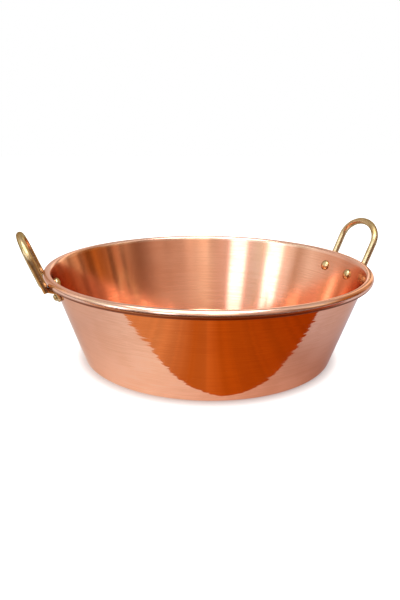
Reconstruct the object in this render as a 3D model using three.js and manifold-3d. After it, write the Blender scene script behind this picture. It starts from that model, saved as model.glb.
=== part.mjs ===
// Wide copper preserving pan with two brass loop handles riveted on below the rolled rim.
// Millimetres, +Z up. The origin is the centre of the underside, and the handles stand on the X axis.
import * as THREE from "three";
import { mergeVertices } from "three/addons/utils/BufferGeometryUtils.js";
import Module from "manifold-3d";

// Bowl, spun from one sheet of copper
const RIM_DIAMETER = 400; // over the rolled rim
const BASE_DIAMETER = 311; // where the line of the wall meets the underside
const PAN_HEIGHT = 113; // underside to the top of the rolled rim
const SHEET = 1.5; // thickness of the copper
const BASE_CORNER_RADIUS = 6; // outside radius between underside and wall
const BEAD_DIAMETER = 9.8; // the rolled rim, outside
const BEAD_TURN = 300; // degrees that the sheet curls round the wire

// Handles, each bent from one brass rod
const ROD_DIAMETER = 8.3;
const LEG_SPACING = 73; // between the centre lines of a handle's legs
const HANDLE_LEAN = 21.8; // degrees that the loop leans outward
const LEG_RISE = 27.5; // straight leg above the rim's centre line
const BOW_HEIGHT = 25.5; // half ellipse that joins the legs, at the rod's centre line
const LEG_DROP = 9; // straight leg below the rim's centre line
const FLAT_LENGTH = 10; // flat forged on the outside of each leg's lower end
const FLAT_DEPTH = 1.2;

// Feet, forged from the ends of the rod: a strap under the rim and an eye on the wall
const FOOT_THICKNESS = 3.5;
const STRAP_WIDTH = 8;
const EYE_DIAMETER = 12.5;
const HUG_END = 110; // degrees down round the rim's roll, from level, that the foot fits against

// Rivets, one through each foot
const RIVET_SPACING = 56; // between a handle's rivets, which sit closer than its legs
const RIVET_BELOW_RIM = 15.5; // from the rim's centre line down to the rivet
const SHANK_DIAMETER = 4.5;
const HEAD_DIAMETER = 13.5; // domed head inside the pan
const HEAD_HEIGHT = 3.8;
const TAIL_DIAMETER = 8.5; // domed end on the foot
const TAIL_HEIGHT = 3.2;

// Clearances
const FIT = 0.3; // gap between pieces that touch
const CUT_MARGIN = 2; // how far a cutter runs past the material

// Fineness of the round forms
const BOWL_SEGMENTS = 72;
const CORNER_STEPS = 4;
const BEAD_STEPS = 10;
const WIRE_SIDES = 12;
const ROD_SIDES = 12;
const LOOP_STEPS = 44;
const EYE_SEGMENTS = 24;
const HUG_STEPS = 6;
const RIVET_SEGMENTS = 16;
const DOME_STEPS = 4;

const wasm = await Module();
wasm.setup();

const radians = THREE.MathUtils.degToRad;

// Finishes
const copper = () => new THREE.MeshStandardMaterial({ color: 0xc9744c, roughness: 0.22, metalness: 1 });
const brass = () => new THREE.MeshStandardMaterial({ color: 0xcfa650, roughness: 0.2, metalness: 1 });
const iron = () => new THREE.MeshStandardMaterial({ color: 0x85878a, roughness: 0.5, metalness: 1 });

// Cuts and joins
function solidOf(geometry) {
  const bare = geometry.clone();
  bare.deleteAttribute("normal");
  bare.deleteAttribute("uv");
  const merged = mergeVertices(bare);
  return new wasm.Manifold(
    new wasm.Mesh({
      numProp: 3,
      vertProperties: new Float32Array(merged.attributes.position.array),
      triVerts: new Uint32Array(merged.index.array),
    }),
  );
}

function geometryOf(solid) {
  const mesh = solid.getMesh();
  const geometry = new THREE.BufferGeometry();
  geometry.setAttribute("position", new THREE.BufferAttribute(mesh.vertProperties, 3));
  geometry.setIndex(new THREE.BufferAttribute(mesh.triVerts, 1));
  geometry.computeVertexNormals();
  return geometry;
}

// Points on an arc in the plane of radius and height, by angles in radians
function arcPoints(centre, radius, from, to, steps) {
  return Array.from({ length: steps + 1 }, (_, i) => {
    const angle = from + ((to - from) * i) / steps;
    return new THREE.Vector2(centre.x + radius * Math.cos(angle), centre.y + radius * Math.sin(angle));
  });
}

// A profile of radius and height, turned about Z
function turned(profile, segments) {
  return new THREE.LatheGeometry(profile, segments).rotateX(Math.PI / 2);
}

// Wall: a cone from the base corner that runs into the rolled rim without a kink
const beadRadius = BEAD_DIAMETER / 2;
const rollInside = beadRadius - SHEET;
const baseRadius = BASE_DIAMETER / 2;
const bead = new THREE.Vector2(RIM_DIAMETER / 2 - beadRadius, PAN_HEIGHT - beadRadius);
const cornerToBead = new THREE.Vector2(bead.x - baseRadius, bead.y);
const wallLean =
  Math.atan2(cornerToBead.x, cornerToBead.y) - Math.asin(rollInside / cornerToBead.length());
const upWall = new THREE.Vector2(Math.sin(wallLean), Math.cos(wallLean));
const outOfWall = new THREE.Vector2(Math.cos(wallLean), -Math.sin(wallLean));
const wallRadiusAt = (height) => baseRadius + height * Math.tan(wallLean);

// Handle plane: its legs pass the rim's bead with the usual gap
const rodRadius = ROD_DIAMETER / 2;
const lean = radians(HANDLE_LEAN);
const legRadius = bead.x + (beadRadius + rodRadius + FIT) / Math.cos(lean);
const halfSpacing = LEG_SPACING / 2;
const planeX = Math.sqrt(legRadius ** 2 - halfSpacing ** 2);
const handlePlane = new THREE.Matrix4()
  .makeRotationY(lean)
  .setPosition(planeX, 0, bead.y);

// Rivet: where its axis leaves the outside of the wall, and the frame there with Y along the axis
const legEnd = new THREE.Vector3(0, halfSpacing, -LEG_DROP).applyMatrix4(handlePlane);
const legAzimuth = Math.atan2(legEnd.y, legEnd.x);
const rivetHeight = bead.y - RIVET_BELOW_RIM;
const rivetOnWall = new THREE.Vector2(wallRadiusAt(rivetHeight), rivetHeight);
const rivetAzimuth = Math.asin(RIVET_SPACING / 2 / rivetOnWall.x);
const strapAzimuth = (legAzimuth + rivetAzimuth) / 2; // the strap overlaps both the leg and the eye
const eyeTop = 2 * FIT + FOOT_THICKNESS; // seat of the rivet's tail, measured from the wall

function rivetFrame(azimuth) {
  const out = new THREE.Vector3(outOfWall.x, 0, outOfWall.y);
  const up = new THREE.Vector3(upWall.x, 0, upWall.y);
  const across = new THREE.Vector3().crossVectors(out, up);
  return new THREE.Matrix4()
    .makeRotationZ(azimuth)
    .multiply(new THREE.Matrix4().makeTranslation(rivetOnWall.x, 0, rivetOnWall.y))
    .multiply(new THREE.Matrix4().makeBasis(across, out, up));
}

// Hole for a rivet, through the wall and the foot
function rivetHole(azimuth) {
  const radius = SHANK_DIAMETER / 2 + FIT;
  const from = -SHEET - CUT_MARGIN;
  const to = eyeTop + CUT_MARGIN;
  const hole = new THREE.CylinderGeometry(radius, radius, to - from, RIVET_SEGMENTS);
  return solidOf(hole.translate(0, (from + to) / 2, 0).applyMatrix4(rivetFrame(azimuth)));
}

const sideAzimuths = [0, Math.PI];
const rivetAzimuths = sideAzimuths.flatMap((side) => [side + rivetAzimuth, side - rivetAzimuth]);

// Copper bowl: flat underside, round corner, sloping wall and a rim rolled outward round the wire
function makeBowl() {
  const cornerCentre = new THREE.Vector2(
    wallRadiusAt(BASE_CORNER_RADIUS) - BASE_CORNER_RADIUS / Math.cos(wallLean),
    BASE_CORNER_RADIUS,
  );
  const cornerInside = BASE_CORNER_RADIUS - SHEET;
  const down = -Math.PI / 2;
  const rollStart = Math.PI - wallLean;
  const rollEnd = rollStart - radians(BEAD_TURN);
  const profile = [
    new THREE.Vector2(0, 0),
    ...arcPoints(cornerCentre, BASE_CORNER_RADIUS, down, -wallLean, CORNER_STEPS),
    ...arcPoints(bead, rollInside, rollStart, rollEnd, BEAD_STEPS),
    ...arcPoints(bead, beadRadius, rollEnd, rollStart, BEAD_STEPS),
    ...arcPoints(cornerCentre, cornerInside, -wallLean, down, CORNER_STEPS),
    new THREE.Vector2(0, SHEET),
  ];
  const drilled = rivetAzimuths.reduce(
    (bowl, azimuth) => bowl.subtract(rivetHole(azimuth)),
    solidOf(turned(profile, BOWL_SEGMENTS)),
  );
  return geometryOf(drilled);
}

// Wire ring inside the rolled rim
function makeRimWire() {
  const circle = arcPoints(bead, rollInside - FIT, 0, 2 * Math.PI, WIRE_SIDES);
  return turned(circle, BOWL_SEGMENTS);
}

// Centre line of a handle in its own plane: up one leg, over a half ellipse and down the other
class LoopCurve extends THREE.Curve {
  getPoint(u, target = new THREE.Vector3()) {
    const leg = LEG_DROP + LEG_RISE;
    const bow = new THREE.EllipseCurve(0, 0, halfSpacing, BOW_HEIGHT, Math.PI, 0, true);
    const along = u * (2 * leg + bow.getLength());
    if (along < leg) return target.set(0, -halfSpacing, along - LEG_DROP);
    const past = along - leg - bow.getLength();
    if (past > 0) return target.set(0, halfSpacing, LEG_RISE - past);
    const onBow = bow.getPointAt((along - leg) / bow.getLength());
    return target.set(0, onBow.x, LEG_RISE + onBow.y);
  }
}

function makeRod() {
  const section = new THREE.Shape().absarc(0, 0, rodRadius, 0, 2 * Math.PI);
  const rod = new THREE.ExtrudeGeometry(section, {
    steps: LOOP_STEPS,
    curveSegments: ROD_SIDES / 2,
    extrudePath: new LoopCurve(),
  });
  return solidOf(rod.applyMatrix4(handlePlane));
}

// Outline of a strip of even thickness along a bent line, with mitred corners
function stripOutline(line, thickness) {
  const ends = (i) => [line[Math.max(i - 1, 0)], line[i], line[Math.min(i + 1, line.length - 1)]];
  const normal = (a, b) => new THREE.Vector2(a.y - b.y, b.x - a.x).normalize();
  const offsets = line.map((_, i) => {
    const [before, at, after] = ends(i);
    const first = before === at ? normal(at, after) : normal(before, at);
    const second = after === at ? first : normal(at, after);
    const mitre = first.clone().add(second).normalize();
    return mitre.multiplyScalar(thickness / 2 / mitre.dot(first));
  });
  const left = line.map((point, i) => point.clone().add(offsets[i]));
  const right = line.map((point, i) => point.clone().sub(offsets[i]));
  return [...left, ...right.reverse()];
}

// Foot: a strap that fills the corner of leg and rim, turns in under the rim and lies down the wall to its eye
function makeFoot(sign) {
  const middle = FIT + FOOT_THICKNESS / 2;
  const eyeCentre = rivetOnWall.clone().addScaledVector(outOfWall, middle);
  const bendRise = (TAIL_DIAMETER + FOOT_THICKNESS) / 2 + FIT;
  const bend = eyeCentre.clone().addScaledVector(upWall, bendRise);
  const root = new THREE.Vector3(0, halfSpacing, FOOT_THICKNESS / 2 - LEG_DROP).applyMatrix4(handlePlane);
  const start = new THREE.Vector2(Math.hypot(root.x, root.y), root.z);
  const outline = stripOutline([start, bend, eyeCentre], FOOT_THICKNESS);
  outline.pop();
  outline.push(...arcPoints(bead, beadRadius + FIT, radians(-HUG_END), -lean, HUG_STEPS));
  const towardsLeg = new THREE.Vector2(Math.cos(lean), -Math.sin(lean));
  outline.push(bead.clone().addScaledVector(towardsLeg, beadRadius + FIT + rodRadius));
  const strap = new THREE.ExtrudeGeometry(new THREE.Shape(outline), {
    depth: STRAP_WIDTH,
    bevelEnabled: false,
  });
  strap.rotateX(Math.PI / 2).translate(0, STRAP_WIDTH / 2, 0).rotateZ(sign * strapAzimuth);
  const eyeRadius = EYE_DIAMETER / 2;
  const eye = new THREE.CylinderGeometry(eyeRadius, eyeRadius, FOOT_THICKNESS, EYE_SEGMENTS);
  eye.translate(0, middle, 0).applyMatrix4(rivetFrame(sign * rivetAzimuth));
  return solidOf(strap).add(solidOf(eye));
}

// Cutter for the flat on the outside of a leg's lower end
function legFlat(sign) {
  const deep = FLAT_DEPTH + CUT_MARGIN;
  const wide = ROD_DIAMETER + CUT_MARGIN;
  const tall = FLAT_LENGTH + CUT_MARGIN;
  const flat = new THREE.BoxGeometry(deep, wide, tall);
  flat.translate(rodRadius - FLAT_DEPTH + deep / 2, sign * halfSpacing, FLAT_LENGTH - LEG_DROP - tall / 2);
  return solidOf(flat.applyMatrix4(handlePlane));
}

function makeHandle() {
  const handle = [1, -1].reduce(
    (rod, sign) =>
      rod.subtract(legFlat(sign)).add(makeFoot(sign)).subtract(rivetHole(sign * rivetAzimuth)),
    makeRod(),
  );
  return geometryOf(handle);
}

// Rivet: domed head inside the pan, shank through wall and foot, domed tail on the foot
function makeRivet() {
  const headHollow = HEAD_DIAMETER ** 2 / 8 / rivetOnWall.x; // depth of the round wall under the flat head
  const headSeat = -SHEET - FIT - headHollow;
  const dome = (radius, seat, height, from, to) =>
    Array.from({ length: DOME_STEPS + 1 }, (_, i) => {
      const angle = from + ((to - from) * i) / DOME_STEPS;
      return new THREE.Vector2(radius * Math.cos(angle), seat + height * Math.sin(angle));
    });
  const quarter = Math.PI / 2;
  const profile = [
    ...dome(HEAD_DIAMETER / 2, headSeat, HEAD_HEIGHT, -quarter, 0),
    new THREE.Vector2(SHANK_DIAMETER / 2, headSeat),
    new THREE.Vector2(SHANK_DIAMETER / 2, eyeTop),
    ...dome(TAIL_DIAMETER / 2, eyeTop, TAIL_HEIGHT, 0, quarter),
  ];
  profile[0].x = 0;
  profile[profile.length - 1].x = 0;
  return new THREE.LatheGeometry(profile, RIVET_SEGMENTS);
}

// Assembly
const pan = new THREE.Group();

function addPiece(parent, name, geometry, material) {
  const piece = new THREE.Mesh(geometry, material);
  piece.name = name;
  parent.add(piece);
  return piece;
}

addPiece(pan, "bowl", makeBowl(), copper());
addPiece(pan, "rim_wire", makeRimWire(), iron());

const handleShape = makeHandle();
const rivetShape = makeRivet();
const sides = { right: sideAzimuths[0], left: sideAzimuths[1] };
for (const [side, azimuth] of Object.entries(sides)) {
  const group = new THREE.Group();
  group.rotation.z = azimuth;
  pan.add(group);
  addPiece(group, `handle_${side}`, handleShape, brass());
  for (const [place, sign] of [["back", 1], ["front", -1]]) {
    const towardsBack = azimuth === 0 ? sign : -sign;
    const rivet = addPiece(group, `rivet_${side}_${place}`, rivetShape, brass());
    rivet.applyMatrix4(rivetFrame(towardsBack * rivetAzimuth));
  }
}

export default pan;
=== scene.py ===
# %% [markdown]
# # Copper preserving pan with brass loop handles
# A preserving pan is wide and low, so that fruit and sugar boil down fast. The bowl is one sheet of
# copper, spun on a lathe and rolled over a wire at the rim. Each handle is a bent brass rod, riveted on
# below the rim. The packed CAD model holds every solid in its place, and it is loaded here as a fixed
# frame. Its faceted pieces could be shown as they are, but polished metal shows each facet, so finer
# pieces are made on the same sizes.

# %% Load the frame
import math

import bmesh
import bpy
from mathutils import Matrix, Vector


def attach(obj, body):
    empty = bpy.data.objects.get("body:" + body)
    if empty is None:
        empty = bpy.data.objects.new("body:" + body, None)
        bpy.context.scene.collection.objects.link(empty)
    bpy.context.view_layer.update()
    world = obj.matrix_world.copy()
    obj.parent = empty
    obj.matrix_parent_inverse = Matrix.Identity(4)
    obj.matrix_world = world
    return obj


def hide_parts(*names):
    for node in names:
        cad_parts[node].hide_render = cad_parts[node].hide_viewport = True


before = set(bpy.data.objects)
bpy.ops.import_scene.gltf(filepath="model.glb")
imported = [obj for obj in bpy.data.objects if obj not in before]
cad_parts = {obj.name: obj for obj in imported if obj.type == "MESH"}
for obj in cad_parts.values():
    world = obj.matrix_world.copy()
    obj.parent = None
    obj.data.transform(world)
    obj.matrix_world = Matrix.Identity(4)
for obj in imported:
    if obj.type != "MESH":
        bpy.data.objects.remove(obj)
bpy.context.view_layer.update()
scene = bpy.context.scene
print("CAD nodes:", sorted(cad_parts))

# %% [markdown]
# ## Camera
# The camera looks a little down on the pan, from its front. It could be placed by eye, but distance and
# lens together set how wide the near rim looks against the far one, so both were fitted to the outlines
# of rim and base. The pan's own X axis runs through the handles, which are turned away from the picture's
# left and right. It is easier to think in the viewer's directions, so a small helper turns right, away
# and up into the part's frame.

# %% Take the viewer's directions
HANDLE_TURN = math.radians(18.61)  # handles against the picture's left and right

viewer = Matrix.Rotation(-HANDLE_TURN, 4, "Z")


def seen(right, away, up):
    """A point in the viewer's directions, from the centre of the pan's underside."""
    return viewer @ Vector((right, away, up))


print("The viewer's right is", [round(x, 3) for x in seen(1, 0, 0)], "in the part's frame")

# %% Place the camera
IMAGE_CENTRE = (200, 300)  # pixels
IMAGE_HEIGHT = 600
FOCAL_PIXELS = 560
SENSOR = 36  # millimetres on the picture's long side
CAMERA_DISTANCE = 0.719
CAMERA_ELEVATION = math.radians(17.66)
CAMERA_ROLL = math.radians(0.77)
AIM_HEIGHT = 0.05
AIM_PIXEL = (207.5, 311)  # where the point on the pan's axis at that height shows

camera_data = bpy.data.cameras.new("camera")
camera_data.sensor_width = SENSOR
camera_data.lens = FOCAL_PIXELS * SENSOR / IMAGE_HEIGHT
camera = bpy.data.objects.new("camera", camera_data)
scene.collection.objects.link(camera)
scene.camera = camera

aim_left = math.atan2(AIM_PIXEL[0] - IMAGE_CENTRE[0], FOCAL_PIXELS)
aim_up = math.atan2(AIM_PIXEL[1] - IMAGE_CENTRE[1], FOCAL_PIXELS)
camera_place = seen(
    0,
    -CAMERA_DISTANCE * math.cos(CAMERA_ELEVATION),
    AIM_HEIGHT + CAMERA_DISTANCE * math.sin(CAMERA_ELEVATION),
)
tilt = math.pi / 2 - CAMERA_ELEVATION + aim_up
camera.matrix_world = (
    Matrix.Translation(camera_place)
    @ viewer
    @ Matrix.Rotation(tilt, 4, "X")
    @ Matrix.Rotation(aim_left, 4, "Y")
    @ Matrix.Rotation(CAMERA_ROLL, 4, "Z")
)
scene.view_settings.view_transform = "Standard"
print("Camera at", [round(x, 3) for x in camera_place], "lens", round(camera_data.lens, 1), "mm")

# %% [markdown]
# ## Helpers
# Each piece below is a mesh that code fills in, and each finish is a small network of nodes. Blender's
# own calls need several lines for one node: make it, set its options, set or link each socket. A class
# with short methods keeps a finish as readable as a recipe. A helper that isn't needed yet comes later,
# beside the first piece or finish that uses it.


# %% Turn points into objects
def add_mesh(name, builder):
    """An object from a bmesh, which is used up."""
    mesh = bpy.data.meshes.new(name)
    builder.to_mesh(mesh)
    builder.free()
    piece = bpy.data.objects.new(name, mesh)
    scene.collection.objects.link(piece)
    return piece


def add_polygon(name, corners):
    """A flat sheet from its corners."""
    builder = bmesh.new()
    builder.faces.new([builder.verts.new(corner) for corner in corners])
    return add_mesh(name, builder)


print("Meshes come from", add_mesh.__name__, "and", add_polygon.__name__)


# %% Wire up finishes
class Finish:
    """A material or world, with short ways to add and join its nodes."""

    def __init__(self, data):
        self.data = data
        data.use_nodes = True
        self.nodes = data.node_tree.nodes
        self.links = data.node_tree.links

    def feed(self, socket, value):
        """Links a socket to a source, or sets its number or colour."""
        if isinstance(value, bpy.types.NodeSocket):
            self.links.new(value, socket)
        elif socket.type == "RGBA":
            socket.default_value = (*value, 1)
        else:
            socket.default_value = value

    def add(self, kind, inputs=None, **settings):
        """A node of that kind: settings are its options, inputs its sockets' values or sources."""
        node = self.nodes.new("ShaderNode" + kind)
        for name, value in settings.items():
            setattr(node, name, value)
        for socket, value in (inputs or {}).items():
            self.feed(node.inputs[socket], value)
        return node

    def calculate(self, operation, *values):
        """One sum on numbers or sockets."""
        return self.add("Math", dict(enumerate(values)), operation=operation).outputs[0]

    def blend(self, share, low, high):
        """From one colour to another, by a share from 0 to 1."""
        return self.add("Mix", {0: share, 6: low, 7: high}, data_type="RGBA").outputs[2]

    def step(self, value, low, high, to_low=0.0, to_high=1.0):
        """Smoothly from one number to another while a value goes from low to high."""
        inputs = {"Value": value, "From Min": low, "From Max": high, "To Min": to_low, "To Max": to_high}
        return self.add("MapRange", inputs, interpolation_type="SMOOTHSTEP").outputs[0]

    def tones(self, value, reach, colours):
        """Colours by a value that runs from minus to plus a reach."""
        share = self.add("MapRange", {"Value": value, "From Min": -reach, "From Max": reach}).outputs[0]
        node = self.add("ValToRGB", {0: share})
        elements = node.color_ramp.elements
        while len(elements) < len(colours):
            elements.new(0.5)
        for element, (place, colour) in zip(elements, colours.items()):
            element.position = place / (2 * reach) + 0.5
            element.color = (*colour, 1)
        return node.outputs[0]

    def viewer_split(self, kind):
        """Right, away and up in the viewer's directions, from a kind of texture coordinate."""
        spot = self.add("TexCoord").outputs[kind]
        turned = self.add("VectorRotate", {0: spot, "Angle": HANDLE_TURN}, rotation_type="Z_AXIS")
        return self.add("SeparateXYZ", {0: turned.outputs[0]}).outputs


print("A finish can", [name for name in vars(Finish) if not name.startswith("_")])

# %% [markdown]
# ## Floor
# The pan stands on a plain white floor with a thin, soft shadow at its base. A floor that is only lit
# would go grey under the overhanging wall. So part of its white is given by the material to what looks at
# it, and the rest is lit and keeps the shadow. The given white is dimmed close to the base: a painted
# shadow beside the real one. Mirrors get a floor of painted light and shade, brighter on the left and
# dark to the right, because copper that mirrors plain white looks flat.

# %% Lay the floor
FLOOR_HALF = 6.0
FLOOR_DROP = 0.0002  # keeps the floor off the pan's underside

quarters = ((-1, -1), (1, -1), (1, 1), (-1, 1))
floor = add_polygon("floor", [(x * FLOOR_HALF, y * FLOOR_HALF, -FLOOR_DROP) for x, y in quarters])
print("Floor", 2 * FLOOR_HALF, "m square")

# %% Paint the floor
FLOOR_WHITE = (0.75, 0.75, 0.75)
PAINTED_SHADOW_GLOW = 0.25  # the given white at the base, dimmed: a painted shadow
PAINTED_SHADOW_REACH = (0.152, 0.177)  # metres from the axis, where the painted shadow goes up to full white
FLOOR_REACH = 0.25  # metres to either side, where the mirrored tones end
FLOOR_PAINTED_LIGHT = {  # painted light and shade for mirrors, by metres right of the axis
    -0.225: (0.23, 0.27, 0.31),
    -0.07: (0.55, 0.65, 0.64),
    0.05: (0.32, 0.26, 0.22),
    0.145: (0.08, 0.04, 0.05),
    0.21: (0.14, 0.17, 0.27),
}

paper = Finish(bpy.data.materials.new("white_floor"))
paper.nodes.clear()
spot = paper.add("TexCoord").outputs["Object"]
from_axis = paper.add("VectorMath", {0: spot}, operation="LENGTH").outputs["Value"]
# Painted shadow: the white given to the camera is dimmed close to the base.
shadow_tone = paper.step(from_axis, *PAINTED_SHADOW_REACH, PAINTED_SHADOW_GLOW)
right, _, _ = paper.viewer_split("Object")
# Painted light and shade that only mirrors see: brighter on the left, dark to the right.
mirrored_light_and_shade = paper.tones(right, FLOOR_REACH, FLOOR_PAINTED_LIGHT)
path = paper.add("LightPath").outputs
glow_tone = paper.blend(path["Is Camera Ray"], mirrored_light_and_shade, shadow_tone)
looked_at = paper.calculate("MAXIMUM", path["Is Camera Ray"], path["Is Glossy Ray"])
looked_at = paper.calculate("MAXIMUM", looked_at, path["Is Transmission Ray"])
glow = paper.add("Emission", {"Color": glow_tone, "Strength": looked_at})
lit = paper.add("BsdfDiffuse", {"Color": FLOOR_WHITE})
both = paper.add("AddShader", {0: glow.outputs[0], 1: lit.outputs[0]})
paper.add("OutputMaterial", {0: both.outputs[0]})
paper.data.cycles.emission_sampling = "NONE"
floor.data.materials.append(paper.data)
print("Shadow fades out", PAINTED_SHADOW_REACH[1], "m from the axis, and mirrors see", len(FLOOR_PAINTED_LIGHT), "tones")

# %% [markdown]
# ## Warm sheet
# Polished copper shows little colour of its own: it shows what is round it, tinted. The outside of the
# wall leans out, so it mirrors only the floor close to the pan. There a glowing brown sheet lies in front,
# a painted reflection: its back edge shows as the two sides of the deep orange shape on the wall. The
# sheet could be a real brown table, but the floor in the picture is white. So it is hidden from the
# camera, and only mirrors see it.

# %% Lay the warm sheet in front
SHEET_CORNERS = ((-0.1, -0.195), (0.017, -0.161), (0.13, -0.152))  # its back edge, in front of the base
SHEET_HALF = 1.2
SHEET_FRONT = -3.0
SHEET_LIFT = 0.0003
RIGHT_SLOPE = 0.2  # of the back edge, past its last corner

left_away = SHEET_CORNERS[0][1]
right_corner, right_away = SHEET_CORNERS[-1]
sheet_outline = [
    (-SHEET_HALF, left_away),
    (-SHEET_HALF, SHEET_FRONT),
    (SHEET_HALF, SHEET_FRONT),
    (SHEET_HALF, right_away + RIGHT_SLOPE * (SHEET_HALF - right_corner)),
    *reversed(SHEET_CORNERS),
]
painted_reflection_sheet = add_polygon("painted_reflection_sheet", [seen(x, y, SHEET_LIFT) for x, y in sheet_outline])
for ray in ("camera", "diffuse", "transmission", "volume_scatter", "shadow"):
    setattr(painted_reflection_sheet, "visible_" + ray, False)
print("Warm sheet starts", -right_away, "m in front of the pan's axis")

# %% Colour the sheet's painted reflection
SHEET_REACH = 0.3  # metres to either side, where its tones end
SHEET_REFLECTION_TONES = {  # painted reflection close to the pan, by metres to the right of the axis
    -0.09: (0.80, 0.42, 0.17),
    -0.024: (0.56, 0.17, 0.022),
    0.0: (0.63, 0.20, 0.032),
    0.024: (0.52, 0.13, 0.008),
    0.18: (0.38, 0.07, 0.002),
}
SHEET_FAR = (0.10, 0.035, 0.015)
SHEET_FADE = (-0.26, -0.38)  # metres away, where it darkens to that
GRAIN_SCALE = 45.0
GRAIN_NOISE = (0.3, 0.7)  # the part of the noise that is used
GRAIN_TONES = (0.9, 1.08)


def stripe_noise(finish, value, scale, detail):
    """Noise along one number."""
    inputs = {"W": value, "Scale": scale, "Detail": detail}
    return finish.add("TexNoise", inputs, noise_dimensions="1D").outputs[0]


def shade(finish, colour, factor):
    """A colour times a number."""
    inputs = {0: 1.0, 6: colour, 7: factor}
    return finish.add("Mix", inputs, data_type="RGBA", blend_type="MULTIPLY").outputs[2]


brown = Finish(bpy.data.materials.new("painted_reflection_sheet"))
brown.nodes.clear()
right, away, _ = brown.viewer_split("Object")
near_reflection = brown.tones(right, SHEET_REACH, SHEET_REFLECTION_TONES)
grain = brown.step(stripe_noise(brown, right, GRAIN_SCALE, detail=3.0), *GRAIN_NOISE, *GRAIN_TONES)
near_reflection = shade(brown, near_reflection, grain)
sheet_reflection = brown.blend(brown.step(away, *SHEET_FADE), near_reflection, SHEET_FAR)
# The sheet glows: a painted reflection that only mirrors see.
brown_glow = brown.add("Emission", {"Color": sheet_reflection})
brown.add("OutputMaterial", {0: brown_glow.outputs[0]})
brown.data.cycles.emission_sampling = "NONE"
painted_reflection_sheet.data.materials.append(brown.data)
print("Sheet has", len(SHEET_REFLECTION_TONES), "tones and darkens from", -SHEET_FADE[0], "m")

# %% [markdown]
# ## Room
# The inside of the wall faces the viewer and mirrors the room on the viewer's side: two bright windows on
# the left, darker and browner walls on the right, curtains and posts as stripes, and a ceiling above.
# Real walls could stand round the pan, but they would block the light. Here the room is the world's
# colour by direction: by bearing round the pan, and by height as the sine of the angle above level.
# Mirrors see it, the camera sees white, and everything that isn't a mirror gets a soft white light.

# %% Read the room by bearing and height
world = bpy.data.worlds.new("room")
scene.world = world
room = Finish(world)
room.nodes.clear()
right, away, height = room.viewer_split("Generated")
towards = room.calculate("MULTIPLY", away, -1.0)
bearing = room.calculate("DEGREES", room.calculate("ARCTAN2", right, towards))
off_front = room.calculate("ABSOLUTE", bearing)
print("Bearing 0 is the viewer's side, and plus is to the right")

# %% Colour the walls
HALF_TURN = 180
WALLS = {  # by bearing in degrees
    -180: (0.85, 0.83, 0.82),
    -140: (0.62, 0.47, 0.4),
    -118: (0.87, 0.75, 0.67),
    -97: (1.0, 1.0, 0.95),
    -83: (0.6, 0.46, 0.37),
    -75: (1.15, 1.2, 1.25),
    -44: (0.82, 0.86, 0.9),
    -10: (0.8, 0.65, 0.58),
    0: (0.98, 0.88, 0.73),
    22: (0.7, 0.54, 0.44),
    46: (0.6, 0.42, 0.32),
    64: (0.28, 0.15, 0.09),
    86: (0.36, 0.17, 0.08),
    104: (0.42, 0.16, 0.03),
    118: (0.28, 0.1, 0.02),
    138: (0.8, 0.55, 0.33),
    154: (1.0, 0.8, 0.6),
    180: (0.85, 0.83, 0.82),
}
UPPER_LEFT = (1.1, 1.35, 1.15)  # the upper walls beside the pan
UPPER_RIGHT = (0.9, 0.82, 0.6)
UPPER_START = (0.36, 0.44)  # height
UPPER_LEFT_START = (-38, -50)  # bearings
UPPER_RIGHT_START = (66, 80)
UPPER_END = (108, 96)  # bearings either way

walls = room.tones(bearing, HALF_TURN, WALLS)
beside_left = room.step(bearing, *UPPER_LEFT_START)
beside_right = room.step(bearing, *UPPER_RIGHT_START)
upper = room.calculate("MAXIMUM", beside_left, beside_right)
upper = room.calculate("MULTIPLY", upper, room.step(off_front, *UPPER_END))
upper = room.calculate("MULTIPLY", upper, room.step(height, *UPPER_START))
upper_tone = room.blend(room.calculate("GREATER_THAN", bearing, 0.0), UPPER_LEFT, UPPER_RIGHT)
walls = room.blend(upper, walls, upper_tone)
print("Walls have", len(WALLS), "tones all round")

# %% Open the windows
WINDOWS = (-27.5, -61)  # bearings of their middles
WINDOW_EDGE = (4.5, 9.5)  # degrees from the middle, where a window starts and stops to fade
WINDOW_TOP = (0.42, 0.52)  # height where it fades out
WINDOW_BRIGHTNESS = (3.6, 3.8, 4.3)

below_top = room.step(height, *WINDOW_TOP, 1.0, 0.0)
for middle in WINDOWS:
    off_middle = room.calculate("ABSOLUTE", room.calculate("SUBTRACT", bearing, middle))
    pane = room.step(off_middle, *WINDOW_EDGE, 1.0, 0.0)
    pane = room.calculate("MULTIPLY", pane, below_top)
    walls = room.blend(pane, walls, WINDOW_BRIGHTNESS)
print(len(WINDOWS), "windows of about", sum(WINDOW_EDGE), "degrees")

# %% Close the room above and below
LOW_FRONT = (0.06, 0.025, 0.012)  # dark, below the level of the pan's rim
LOW_FRONT_TOP = (0.08, 0.2)  # height
BEHIND_START = (0.2, 0.6)  # share of the direction that points away from the viewer
CEILING = (2.2, 2.1, 1.95)  # in front
CEILING_SIDES = (0.7, 0.66, 0.62)
CEILING_BEHIND = (0.45, 0.4, 0.36)
CEILING_START = (0.48, 0.75)  # height
CEILING_EDGE = (6, 40)  # bearing either way, where the front fades to the sides

behind = room.step(away, *BEHIND_START)
above_low = room.calculate("MAXIMUM", room.step(height, *LOW_FRONT_TOP), behind)
walls = room.blend(above_low, LOW_FRONT, walls)
overhead = room.blend(room.step(off_front, *CEILING_EDGE), CEILING, CEILING_SIDES)
overhead = room.blend(behind, overhead, CEILING_BEHIND)
mirrored = room.blend(room.step(height, *CEILING_START), walls, overhead)
print("Ceiling is", round(CEILING[0] / CEILING_SIDES[0], 1), "times brighter in front than beside")

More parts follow.
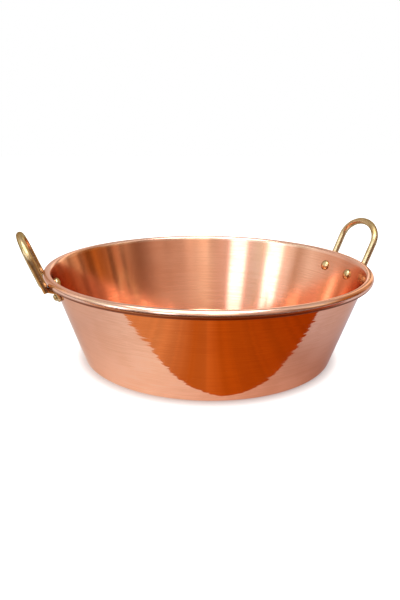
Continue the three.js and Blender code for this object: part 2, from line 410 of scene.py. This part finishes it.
# %% Hang curtains and posts
STRIPE_SCALE = 0.09  # a few degrees wide
STRIPE_NOISE = (0.35, 0.65)  # the part of the noise that is used
STRIPE_TONES = (0.45, 1.6)
STRIPES_RIGHT = (66, 80)  # bearing where they start
STRIPES_HIGH = (0.42, 0.5)  # height where they start all round


def between(finish, share, low, high):
    """From one number to another, by a share from 0 to 1."""
    return finish.add("Mix", {0: share, 2: low, 3: high}).outputs[0]


stripes = room.step(stripe_noise(room, bearing, STRIPE_SCALE, detail=2.0), *STRIPE_NOISE, *STRIPE_TONES)
on_right = room.step(bearing, *STRIPES_RIGHT)
high_up = room.step(height, *STRIPES_HIGH)
striped = room.calculate("MAXIMUM", on_right, high_up)
mirrored = shade(room, mirrored, between(room, striped, 1.0, stripes))
print("Stripes make the walls up to", STRIPE_TONES[1], "times as bright")

# %% Show the room to mirrors and light the rest
ROOM_LIGHT = 0.8  # soft white light on everything that isn't a mirror
WHITE = (1.0, 1.0, 1.0)

path = room.add("LightPath").outputs
shown = room.blend(path["Is Glossy Ray"], WHITE, mirrored)
strength = room.add("MapRange", {"Value": path["Is Diffuse Ray"], "To Min": 1.0, "To Max": ROOM_LIGHT})
background = room.add("Background", {"Color": shown, "Strength": strength.outputs[0]})
room.add("OutputWorld", {0: background.outputs[0]})
world.cycles.sampling_method = "NONE"
print("Room light", ROOM_LIGHT)

# %% [markdown]
# ## Soft box
# A wide lamp hangs over the pan. Its image is the white line along the top of the rolled rim and the
# gleam on the handles. A small lamp would give hard points of light instead. It is kept out of the
# camera's view and off the floor, so that the shadow stays as soft as the room makes it.

# %% Hang the soft box
SOFT_BOX_PLACE = (-0.1, -0.3, 1.2)
SOFT_BOX_SIZE = (1.2, 0.8)
SOFT_BOX_BRIGHTNESS = 3.0

box_data = bpy.data.lights.new("soft_box", "AREA")
box_data.shape = "RECTANGLE"
box_data.size, box_data.size_y = SOFT_BOX_SIZE
box_data.energy = 4 * box_data.size * box_data.size_y * SOFT_BOX_BRIGHTNESS  # watts for that brightness
soft_box = bpy.data.objects.new("soft_box", box_data)
scene.collection.objects.link(soft_box)
soft_box.matrix_world = Matrix.Translation(seen(*SOFT_BOX_PLACE)) @ viewer
soft_box.visible_camera = False
soft_box.visible_diffuse = False
print("Soft box of", round(box_data.energy), "W hangs", SOFT_BOX_PLACE[2], "m up")

# %% [markdown]
# ## Copper bowl
# The real bowl is a disc of copper, pressed over a former on a lathe until it has a flat base, a rounded
# corner and a sloping wall. Its edge is then rolled outward round a wire, which makes the rim stiff and
# safe to hold. A lathe shape could be made with the Screw modifier, or be spun in bmesh from a drawn
# profile. Spinning is chosen, because the profile is then plain numbers that follow the CAD: up the
# outside, round the roll and down the inside.

# %% Sizes of the bowl
RIM_RADIUS = 0.2
BASE_RADIUS = 0.1555  # where the line of the wall meets the underside
PAN_HEIGHT = 0.113
COPPER = 0.0015  # thickness of the sheet
CORNER_RADIUS = 0.006
BEAD_RADIUS = 0.0049  # of the rolled rim
BEAD_TURN = math.radians(300)

bead = Vector((RIM_RADIUS - BEAD_RADIUS, PAN_HEIGHT - BEAD_RADIUS))
roll_inside = BEAD_RADIUS - COPPER
corner_to_bead = Vector((bead.x - BASE_RADIUS, bead.y))
bead_lean = math.atan2(corner_to_bead.x, corner_to_bead.y)
wall_lean = bead_lean - math.asin(roll_inside / corner_to_bead.length)
up_wall = Vector((math.sin(wall_lean), math.cos(wall_lean)))
out_of_wall = Vector((math.cos(wall_lean), -math.sin(wall_lean)))


def wall_radius(height):
    """Radius of the outside of the wall."""
    return BASE_RADIUS + height * math.tan(wall_lean)


print("The wall leans out", round(math.degrees(wall_lean), 2), "degrees")

# %% Turn profiles into pieces
SHARP_EDGE = math.radians(40)
SAME_POINT = 1e-6


def arc(centre, radius, start, end, steps):
    """Points of radius and height on an arc."""
    angles = [start + (end - start) * i / steps for i in range(steps + 1)]
    return [Vector((centre.x + radius * math.cos(a), centre.y + radius * math.sin(a))) for a in angles]


def spin(name, profile, segments):
    """A profile of radius and height, turned about Z and closed at the axis."""
    builder = bmesh.new()
    points = [builder.verts.new((radius, 0, height)) for radius, height in profile]
    edges = [builder.edges.new(pair) for pair in zip(points, points[1:])]
    bmesh.ops.spin(
        builder,
        geom=points + edges,
        cent=(0, 0, 0),
        axis=(0, 0, 1),
        angle=2 * math.pi,
        steps=segments,
        use_merge=True,
    )
    bmesh.ops.remove_doubles(builder, verts=builder.verts, dist=SAME_POINT)
    bmesh.ops.recalc_face_normals(builder, faces=builder.faces)
    return add_mesh(name, builder)


def smooth(piece):
    """Round faces shade smoothly, and real edges stay crisp."""
    piece.data.shade_smooth()
    piece.data.set_sharp_from_angle(angle=SHARP_EDGE)


print("Edges over", round(math.degrees(SHARP_EDGE)), "degrees stay crisp")

# %% Draw the bowl's profile
DOWN = -math.pi / 2
CORNER_STEPS = 12
ROLL_STEPS = 48
ROLL_BACK_STEPS = 32
NEAR_BEND = 0.0004  # a line of points this close to a bend keeps the straight wall's shading straight

corner_in = wall_radius(CORNER_RADIUS) - CORNER_RADIUS / math.cos(wall_lean)
corner_centre = Vector((corner_in, CORNER_RADIUS))
roll_start = math.pi - wall_lean
roll_end = roll_start - BEAD_TURN
outer_corner = arc(corner_centre, CORNER_RADIUS, DOWN, -wall_lean, CORNER_STEPS)
inner_corner = arc(corner_centre, CORNER_RADIUS - COPPER, -wall_lean, DOWN, CORNER_STEPS)
roll_back = arc(bead, roll_inside, roll_start, roll_end, ROLL_BACK_STEPS)
roll_front = arc(bead, BEAD_RADIUS, roll_end, roll_start, ROLL_STEPS)
to_axis = Vector((-NEAR_BEND, 0))
bowl_profile = [
    Vector((0, 0)),
    outer_corner[0] + to_axis,
    *outer_corner,
    outer_corner[-1] + up_wall * NEAR_BEND,
    roll_back[0] - up_wall * NEAR_BEND,
    *roll_back,
    *roll_front,
    roll_front[-1] - up_wall * NEAR_BEND,
    inner_corner[0] + up_wall * NEAR_BEND,
    *inner_corner,
    inner_corner[-1] + to_axis,
    Vector((0, COPPER)),
]
print("Profile has", len(bowl_profile), "points")

# %% Spin the bowl
BOWL_SEGMENTS = 256

bowl = spin("copper_bowl", bowl_profile, BOWL_SEGMENTS)
smooth(bowl)
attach(bowl, "root")
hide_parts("bowl")
print("Bowl has", len(bowl.data.polygons), "faces")

# %% [markdown]
# ## Copper finish
# Spun copper keeps the marks of its making. The tool leaves shallow rings a few millimetres apart, which
# make the edges of mirrored shapes jagged, and the polishing wheel leaves fine lines that run round the
# bowl. Handling adds faint clouds of tarnish. The rolled rim is painted paler, a painted highlight, and a
# dark line under it is painted shade. A painted picture could hold all this, but it would stretch and
# blur. Here noise is read by radius and height instead of by place, so the same value runs right round
# the bowl, as a mark from a lathe does.

# %% Read the bowl by radius and height
WANDER = 0.006  # metres that a ring strays
WANDER_SCALE = 14.0


def noise(finish, place, scale, detail):
    """Noise in space."""
    return finish.add("TexNoise", {"Vector": place, "Scale": scale, "Detail": detail}).outputs[0]


copper = Finish(bpy.data.materials.new("spun_copper"))
place = copper.add("TexCoord").outputs["Object"]
split = copper.add("SeparateXYZ", {0: place}).outputs
flat = copper.add("CombineXYZ", {0: split[0], 1: split[1]}).outputs[0]
radius = copper.add("VectorMath", {0: flat}, operation="LENGTH").outputs["Value"]
section = copper.add("CombineXYZ", {0: radius, 1: split[2]}).outputs[0]
wander = copper.calculate("MULTIPLY", noise(copper, place, WANDER_SCALE, detail=1.0), WANDER)
turning = copper.add("CombineXYZ", {0: radius, 1: wander, 2: split[2]}).outputs[0]
print("Rings stray up to", WANDER * 1000, "mm")

# %% Tell inside from outside
INSIDE_FADE = (COPPER / 3, COPPER * 2 / 3)  # depth in the sheet

wall_line = copper.calculate("MULTIPLY_ADD", split[2], math.tan(wall_lean), BASE_RADIUS)
inside = copper.step(copper.calculate("SUBTRACT", wall_line, radius), *INSIDE_FADE)
print("Outside turns to inside", round(INSIDE_FADE[0] * 1000, 2), "mm deep")

# %% Tarnish the sheet
COPPER_BRIGHT = (0.89, 0.465, 0.315)
COPPER_TARNISHED = (0.82, 0.40, 0.255)
TARNISH_NOISE = (0.15, 0.36)  # the part of the noise that is used
ROUGH_NOISE = (0.15, 0.40)
OUTSIDE_ROUGH = (0.05, 0.09)
INSIDE_ROUGH = (0.14, 0.19)
RING_SCALE = 230.0
LINE_SCALE = 1050.0
CLOUD_SCALE = 22.0

rings = noise(copper, turning, RING_SCALE, detail=1.0)
lines = noise(copper, turning, LINE_SCALE, detail=2.0)
clouds = noise(copper, place, CLOUD_SCALE, detail=4.0)
tarnish = copper.calculate("MULTIPLY", clouds, lines)
copper_tone = copper.blend(copper.step(tarnish, *TARNISH_NOISE), COPPER_BRIGHT, COPPER_TARNISHED)
outside_rough = copper.step(tarnish, *ROUGH_NOISE, *OUTSIDE_ROUGH)
inside_rough = copper.step(tarnish, *ROUGH_NOISE, *INSIDE_ROUGH)
copper_rough = between(copper, inside, outside_rough, inside_rough)
print("Copper is rough from", OUTSIDE_ROUGH[0], "outside to", INSIDE_ROUGH[1], "inside")

# %% Paint a highlight on the roll, and shade under it
# paler copper on the roll: a painted highlight
ROLL_HIGHLIGHT = (0.93, 0.57, 0.43)
ROLL_ROUGH = 0.19
ROLL_FADE = 1.15  # where that ends on the wall, in radii of the roll
CREVICE_SHADE = (0.28, 0.085, 0.04)  # painted shade under the roll
CREVICE_ROUGH = 0.4
CREVICE_ANGLE = math.radians(-60)  # its middle, round the roll from level
CREVICE_REACH = (0.003, 0.005)  # metres from there, where it fades


def distance_to(point):
    """Distance from a point of the section, all round the bowl."""
    inputs = {0: section, 1: (point.x, point.y, 0)}
    return copper.add("VectorMath", inputs, operation="DISTANCE").outputs["Value"]


# A painted highlight: the whole roll is paler copper, so its top mirrors white.
on_roll = copper.step(distance_to(bead), BEAD_RADIUS, BEAD_RADIUS * ROLL_FADE, 1.0, 0.0)
copper_tone = copper.blend(on_roll, copper_tone, ROLL_HIGHLIGHT)
copper_rough = between(copper, on_roll, copper_rough, ROLL_ROUGH)
crevice = bead + BEAD_RADIUS * Vector((math.cos(CREVICE_ANGLE), math.sin(CREVICE_ANGLE)))
# Painted shade: a dark, dull line under the roll, outside only.
shaded_crevice = copper.step(distance_to(crevice), *CREVICE_REACH, 1.0, 0.0)
shaded_crevice = copper.calculate("MULTIPLY", shaded_crevice, copper.calculate("SUBTRACT", 1.0, inside))
copper_tone = copper.blend(shaded_crevice, copper_tone, CREVICE_SHADE)
copper_rough = between(copper, shaded_crevice, copper_rough, CREVICE_ROUGH)
print("Tarnish under the roll ends", round(CREVICE_REACH[1] * 1000, 1), "mm from its middle")

# %% [markdown]
# ## Polish and turning marks
# The rings are real relief. They could be drawn into the profile, but that takes thousands of points for
# marks a fraction of a millimetre deep, so they go into a bump: deep outside, and shallow inside, where
# the pan was smoothed more. The fine lines are too small to see one by one. What shows is that they
# spread light up and down the wall more than along it, and the shader's anisotropy does that, with a
# tangent that runs round the pan's axis.

# %% Polish the copper
RING_DEPTH = 0.00016
INSIDE_RINGS = 0.15  # depth inside, against outside
LINE_SHARE = 0.012  # depth of the fine lines, against the rings
EDGE_TINT = (0.85, 0.7, 0.62)  # copper seen at a low angle
ANISOTROPY = 0.7
QUARTER_TURN = 0.25  # turns the spread from along the wall to up the wall


def coat(finish, inputs):
    """Feeds the metal shader's own sockets."""
    shader = finish.nodes["Principled BSDF"]
    for name, value in inputs.items():
        finish.feed(shader.inputs[name], value)


ring_depth = copper.calculate("MULTIPLY", rings, between(copper, inside, 1.0, INSIDE_RINGS))
depth = copper.calculate("MULTIPLY_ADD", lines, LINE_SHARE, ring_depth)
relief = copper.add("Bump", {"Height": depth, "Distance": RING_DEPTH, "Strength": 1.0})
tangent = copper.add("Tangent", direction_type="RADIAL", axis="Z")
coat(
    copper,
    {
        "Base Color": copper_tone,
        "Metallic": 1.0,
        "Roughness": copper_rough,
        "Normal": relief.outputs[0],
        "Specular Tint": EDGE_TINT,
        "Anisotropic": ANISOTROPY,
        "Anisotropic Rotation": QUARTER_TURN,
        "Tangent": tangent.outputs[0],
    },
)
bowl.data.materials.append(copper.data)
print("Copper rings", round(RING_DEPTH * 1e6), "micrometres deep")

# %% [markdown]
# ## Handle rods
# Each handle is a round brass rod, bent to an arch that leans out. Its legs pass just outside the rim,
# and their lower ends are hammered flat on the outside. A bevelled curve could make the rod, but the
# flats need its surface, so rings of points are laid along the arch and the ones on a flat are pushed in.

# %% Sizes of the handles
ROD_RADIUS = 0.00415
HALF_SPACING = 0.0365  # from the middle of the handle to a leg's centre line
HANDLE_LEAN = math.radians(21.8)
LEG_RISE = 0.0275
BOW_HEIGHT = 0.0255
LEG_DROP = 0.009
FIT = 0.0003  # gap between pieces that touch

leg_radius = bead.x + (BEAD_RADIUS + ROD_RADIUS + FIT) / math.cos(HANDLE_LEAN)
plane_x = math.sqrt(leg_radius**2 - HALF_SPACING**2)
handle_plane = Matrix.Translation((plane_x, 0, bead.y)) @ Matrix.Rotation(HANDLE_LEAN, 4, "Y")
print("Handle plane stands", round(plane_x, 4), "m from the axis")

# %% Draw the arch
LEG_STEPS = 28
BOW_STEPS = 96


def arch():
    """Centre line of a handle in its plane: (across, up) points and the direction there."""
    leg = LEG_DROP + LEG_RISE
    heights = [leg * i / LEG_STEPS - LEG_DROP for i in range(LEG_STEPS)]
    rising = [(Vector((-HALF_SPACING, h)), Vector((0, 1))) for h in heights]
    bow = []
    for i in range(BOW_STEPS + 1):
        angle = math.pi * (1 - i / BOW_STEPS)
        at = Vector((HALF_SPACING * math.cos(angle), LEG_RISE + BOW_HEIGHT * math.sin(angle)))
        along = Vector((HALF_SPACING * math.sin(angle), -BOW_HEIGHT * math.cos(angle)))
        bow.append((at, along.normalized()))
    falling = [(Vector((HALF_SPACING, h)), Vector((0, -1))) for h in reversed(heights)]
    return rising + bow + falling


print("Arch has", len(arch()), "stations")

# %% Bend a rod
ROD_SIDES = 32
END_BEVEL = 0.0004
FLAT_LENGTH = 0.010
FLAT_DEPTH = 0.0012
FLAT_RAMP = 0.002  # over which a flat runs out


def flat_at(height):
    """How far the flat is pushed in at a height on a leg."""
    share = (FLAT_LENGTH - LEG_DROP - height) / FLAT_RAMP
    return FLAT_DEPTH * min(max(share, 0), 1)


def rod_stations():
    """The arch with a radius at each station, and a small bevel on each end."""
    stations = [(at, along, ROD_RADIUS) for at, along in arch()]
    (first, start, _), (last, end, _) = stations[0], stations[-1]
    bevelled = ROD_RADIUS - END_BEVEL
    stations[0] = (first + start * END_BEVEL, start, ROD_RADIUS)
    stations[-1] = (last - end * END_BEVEL, end, ROD_RADIUS)
    return [(first, start, bevelled), *stations, (last, end, bevelled)]


def bend_rod(name):
    """The rod of one handle, with flats on its lower ends."""
    builder = bmesh.new()
    rings = []
    for at, along, size in rod_stations():
        inward = Vector((along.y, -along.x))
        ring = []
        for side in range(ROD_SIDES):
            angle = 2 * math.pi * side / ROD_SIDES
            out = min(size * math.cos(angle), size - flat_at(at.y))
            point = at + inward * (size * math.sin(angle))
            ring.append(builder.verts.new((out, point.x, point.y)))
        rings.append(ring)
    for before, after in zip(rings, rings[1:]):
        for side in range(ROD_SIDES):
            following = (side + 1) % ROD_SIDES
            builder.faces.new((before[side], before[following], after[following], after[side]))
    builder.faces.new(rings[0])
    builder.faces.new(rings[-1])
    builder.transform(handle_plane)
    bmesh.ops.recalc_face_normals(builder, faces=builder.faces)
    return add_mesh(name, builder)


print("Rod", round(2000 * ROD_RADIUS, 1), "mm thick, flat for", 1000 * FLAT_LENGTH, "mm at its ends")

# %% [markdown]
# ## Feet
# Below the rim each leg's end turns in under the roll, fits against it, and lies on the wall as an eye
# for the rivet. On the real handle, rod, strap and eye are one forged piece. It could be sculpted as one
# mesh, but each of them is a simple form: the strap is drawn from the side and given its width, and the
# eye is a thick disc with rounded edges. Boolean modifiers then join them to the rod and drill the hole.

# %% Place the rivets and straps
HALF_RIVETS = 0.028  # from the middle of the handle to a rivet, closer than the legs
RIVET_BELOW_RIM = 0.0155
FOOT_THICKNESS = 0.0035

leg_end = handle_plane @ Vector((0, HALF_SPACING, -LEG_DROP))
leg_azimuth = math.atan2(leg_end.y, leg_end.x)
rivet_height = bead.y - RIVET_BELOW_RIM
rivet_on_wall = Vector((wall_radius(rivet_height), rivet_height))
rivet_azimuth = math.asin(HALF_RIVETS / rivet_on_wall.x)
strap_azimuth = (leg_azimuth + rivet_azimuth) / 2  # the strap overlaps both the leg and the eye
eye_top = 2 * FIT + FOOT_THICKNESS  # where the rivet's tail sits, out from the wall


def rivet_frame(azimuth):
    """Where a rivet's axis leaves the wall, with Z along the axis and X up the wall."""
    out = Vector((out_of_wall.x, 0, out_of_wall.y))
    up = Vector((up_wall.x, 0, up_wall.y))
    axes = Matrix((up, out.cross(up), out)).transposed().to_4x4()
    place = Matrix.Translation((rivet_on_wall.x, 0, rivet_on_wall.y))
    return Matrix.Rotation(azimuth, 4, "Z") @ place @ axes


print("Rivets sit", round(rivet_height, 4), "m up and", round(math.degrees(rivet_azimuth), 1), "degrees off")

# %% Draw the strap
TAIL_RADIUS = 0.00425  # of the rivet's tail, which the bend clears
HUG_END = math.radians(110)  # how far down round the rim's roll the foot fits against it
HUG_STEPS = 18


def strap_outline():
    """The strap from the side: from the leg's end to the wall, down to the rivet and up against the roll."""
    half = FOOT_THICKNESS / 2
    eye = rivet_on_wall + out_of_wall * (FIT + half)
    bend = eye + up_wall * (TAIL_RADIUS + half + FIT)
    root = handle_plane @ Vector((0, HALF_SPACING, half - LEG_DROP))
    line = [Vector((math.hypot(root.x, root.y), root.z)), bend, eye]
    first = (line[1] - line[0]).normalized()
    second = (line[2] - line[1]).normalized()
    normals = [Vector((-d.y, d.x)) for d in (first, second)]
    mitre = (normals[0] + normals[1]).normalized()
    offsets = [normals[0], mitre / mitre.dot(normals[0]), normals[1]]
    outline = [p + o * half for p, o in zip(line, offsets)]
    outline += [line[2] - offsets[2] * half, line[1] - offsets[1] * half]
    outline += arc(bead, BEAD_RADIUS + FIT, -HUG_END, -HANDLE_LEAN, HUG_STEPS)
    towards_leg = Vector((math.cos(HANDLE_LEAN), -math.sin(HANDLE_LEAN)))
    return [*outline, bead + towards_leg * (BEAD_RADIUS + FIT + ROD_RADIUS)]


print("Strap's outline has", len(strap_outline()), "points")

# %% Forge strap and eye
STRAP_WIDTH = 0.008
EYE_RADIUS = 0.00625
EYE_SEGMENTS = 48
EDGE_ROUND = 0.0006
EDGE_SEGMENTS = 3
EYE_EDGE_STEPS = 4
QUARTER_CIRCLE = 0.5  # a bevel's profile


def forge_strap(name, azimuth):
    """The strap, with a small round on every edge that isn't nearly flat."""
    builder = bmesh.new()
    corners = [builder.verts.new((p.x, -STRAP_WIDTH / 2, p.y)) for p in strap_outline()]
    pulled = bmesh.ops.extrude_face_region(builder, geom=[builder.faces.new(corners)])["geom"]
    moved = [v for v in pulled if isinstance(v, bmesh.types.BMVert)]
    bmesh.ops.translate(builder, verts=moved, vec=(0, STRAP_WIDTH, 0))
    bmesh.ops.recalc_face_normals(builder, faces=builder.faces)
    edges = [e for e in builder.edges if e.calc_face_angle(0) > SHARP_EDGE]
    bmesh.ops.bevel(
        builder,
        geom=edges,
        offset=EDGE_ROUND,
        segments=EDGE_SEGMENTS,
        profile=QUARTER_CIRCLE,
        affect="EDGES",
    )
    builder.transform(Matrix.Rotation(azimuth, 4, "Z"))
    return add_mesh(name, builder)


def forge_eye(name, azimuth):
    """The eye: a disc with rounded edges that lies on the wall."""
    corner = EYE_RADIUS - EDGE_ROUND
    low = Vector((corner, FIT + EDGE_ROUND))
    high = Vector((corner, FIT + FOOT_THICKNESS - EDGE_ROUND))
    profile = [
        Vector((0, FIT)),
        *arc(low, EDGE_ROUND, DOWN, 0, EYE_EDGE_STEPS),
        *arc(high, EDGE_ROUND, 0, -DOWN, EYE_EDGE_STEPS),
        Vector((0, FIT + FOOT_THICKNESS)),
    ]
    eye = spin(name, profile, EYE_SEGMENTS)
    eye.data.transform(rivet_frame(azimuth))
    return eye


print("Eyes are", round(2000 * EYE_RADIUS, 1), "mm across")

# %% Drill and join
SHANK_RADIUS = 0.00225
DRILL_LENGTH = 4 * eye_top


def drill(name, azimuth):
    """A plain pin in the place of the rivet's hole."""
    builder = bmesh.new()
    size = SHANK_RADIUS + FIT
    bmesh.ops.create_cone(
        builder,
        cap_ends=True,
        segments=EYE_SEGMENTS,
        radius1=size,
        radius2=size,
        depth=DRILL_LENGTH,
    )
    builder.transform(rivet_frame(azimuth))
    return add_mesh(name, builder)


def combine(piece, other, operation):
    """Joins or cuts with a Boolean modifier, and uses up the other piece."""
    modifier = piece.modifiers.new(operation.lower(), "BOOLEAN")
    modifier.operation = operation
    modifier.solver = "EXACT"
    modifier.object = other
    bpy.context.view_layer.objects.active = piece
    bpy.ops.object.modifier_apply(modifier=modifier.name)
    bpy.data.objects.remove(other)


print("Holes are", round(2000 * (SHANK_RADIUS + FIT), 1), "mm wide")

# %% [markdown]
# ## Both handles
# The handles are alike and stand opposite each other. The second could be a copy of the first, turned
# half round. Here one loop makes both, so that each is a plain mesh of its own in its place, with no turn
# left on the object.

# %% Make both handles
SIDES = {"right": 0.0, "left": math.pi}

handles = {}
for side, azimuth in SIDES.items():
    handle = bend_rod("brass_handle_" + side)
    for sign in (1, -1):
        combine(handle, forge_strap("strap", sign * strap_azimuth), "UNION")
        combine(handle, forge_eye("eye", sign * rivet_azimuth), "UNION")
        combine(handle, drill("drill", sign * rivet_azimuth), "DIFFERENCE")
    handle.data.transform(Matrix.Rotation(azimuth, 4, "Z"))
    smooth(handle)
    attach(handle, "root")
    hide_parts("handle_" + side)
    handles[side] = handle
    print(handle.name, "has", len(handle.data.polygons), "faces")

# %% [markdown]
# ## Rivets
# Four brass rivets hold the handles. A rivet goes in from the inside of the pan, so its wide domed head
# shows there, and its tail is hammered over the eye outside into a smaller dome. A squashed sphere would
# do for a dome seen from far off. A spun profile is just as short, and gives head, shank and tail in one
# closed piece.

# %% Draw a rivet
HEAD_RADIUS = 0.00675
HEAD_HEIGHT = 0.0038
TAIL_HEIGHT = 0.0032
DOME_STEPS = 10


def dome(size, seat, height, start, end):
    """A quarter of an ellipse, from its middle to its edge or back."""
    angles = [start + (end - start) * i / DOME_STEPS for i in range(DOME_STEPS + 1)]
    return [Vector((abs(size * math.cos(a)), seat + height * math.sin(a))) for a in angles]


head_hollow = HEAD_RADIUS**2 / 2 / rivet_on_wall.x  # the wall curves away under a flat head
head_seat = -COPPER - FIT - head_hollow
rivet_profile = [
    *dome(HEAD_RADIUS, head_seat, HEAD_HEIGHT, DOWN, 0),
    Vector((SHANK_RADIUS, head_seat)),
    Vector((SHANK_RADIUS, eye_top)),
    *dome(TAIL_RADIUS, eye_top, TAIL_HEIGHT, 0, -DOWN),
]
print("Rivet shank is", round(1000 * (eye_top - head_seat), 1), "mm long")

# %% Set the rivets
RIVET_SEGMENTS = 48

rivets = []
for side, azimuth in SIDES.items():
    towards_back = 1 if side == "right" else -1
    for place_name, sign in (("back", towards_back), ("front", -towards_back)):
        rivet = spin(f"brass_rivet_{side}_{place_name}", rivet_profile, RIVET_SEGMENTS)
        rivet.data.transform(rivet_frame(azimuth + sign * rivet_azimuth))
        smooth(rivet)
        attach(rivet, "root")
        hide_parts(f"rivet_{side}_{place_name}")
        rivets.append(rivet)
print(len(rivets), "rivets")

# %% [markdown]
# ## Brass finish
# The brass is satin rod, paler and yellower than the copper. Bending and hammering leave it slightly
# uneven, and fingers dull it a little. A plain metal shader would look as smooth as gold plastic, so soft
# noise changes its tone and gloss, and a shallow bump breaks up the long highlights.

# %% Polish the brass
BRASS_BRIGHT = (0.67, 0.52, 0.30)
BRASS_DULL = (0.48, 0.34, 0.15)
BRASS_EDGE = (0.42, 0.33, 0.2)  # brass seen at a low angle
BRASS_ROUGH = (0.24, 0.36)
DULL_SCALE = 90.0
DULL_NOISE = (0.4, 0.75)  # the part of the noise that changes the tone
GLOSS_NOISE = (0.3, 0.75)  # and the gloss
UNEVEN_SCALE = 160.0
UNEVEN_DEPTH = 0.000004

brass = Finish(bpy.data.materials.new("polished_brass"))
place = brass.add("TexCoord").outputs["Object"]
dull = noise(brass, place, DULL_SCALE, detail=5.0)
uneven = noise(brass, place, UNEVEN_SCALE, detail=2.0)
relief = brass.add("Bump", {"Height": uneven, "Distance": UNEVEN_DEPTH, "Strength": 1.0})
coat(
    brass,
    {
        "Base Color": brass.blend(brass.step(dull, *DULL_NOISE), BRASS_BRIGHT, BRASS_DULL),
        "Metallic": 1.0,
        "Roughness": brass.step(dull, *GLOSS_NOISE, *BRASS_ROUGH),
        "Normal": relief.outputs[0],
        "Specular Tint": BRASS_EDGE,
    },
)
for piece in (*handles.values(), *rivets):
    piece.data.materials.clear()
    piece.data.materials.append(brass.data)
print("Brass on", len(handles) + len(rivets), "pieces")

# %% [markdown]
# ## Rim wire
# The wire inside the rolled rim only shows through the slit under the roll. It could be spun again like
# the bowl, but its CAD ring has the right shape, so it stays and gets the finish of drawn iron wire:
# grey, fairly dull, with spots where it has darkened.

# %% Finish the wire
WIRE_GREY = (0.45, 0.46, 0.47)
WIRE_DARK = (0.20, 0.17, 0.15)
WIRE_ROUGH = (0.35, 0.6)
SPOT_SCALE = 120.0
SPOT_NOISE = (0.45, 0.7)  # the part of the noise that changes the tone
SPOT_ROUGH_NOISE = (0.3, 0.7)  # and the gloss

wire = Finish(bpy.data.materials.new("drawn_iron_wire"))
spots = noise(wire, wire.add("TexCoord").outputs["Object"], SPOT_SCALE, detail=4.0)
coat(
    wire,
    {
        "Base Color": wire.blend(wire.step(spots, *SPOT_NOISE), WIRE_GREY, WIRE_DARK),
        "Metallic": 1.0,
        "Roughness": wire.step(spots, *SPOT_ROUGH_NOISE, *WIRE_ROUGH),
    },
)
rim_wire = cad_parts["rim_wire"]
rim_wire.data.materials.clear()
rim_wire.data.materials.append(wire.data)
print("Wire finished on", rim_wire.name)

# %% [markdown]
# ## Size
# The pieces here have to fill the same box as the CAD model, give or take the little that its flat facets
# cut off round forms.
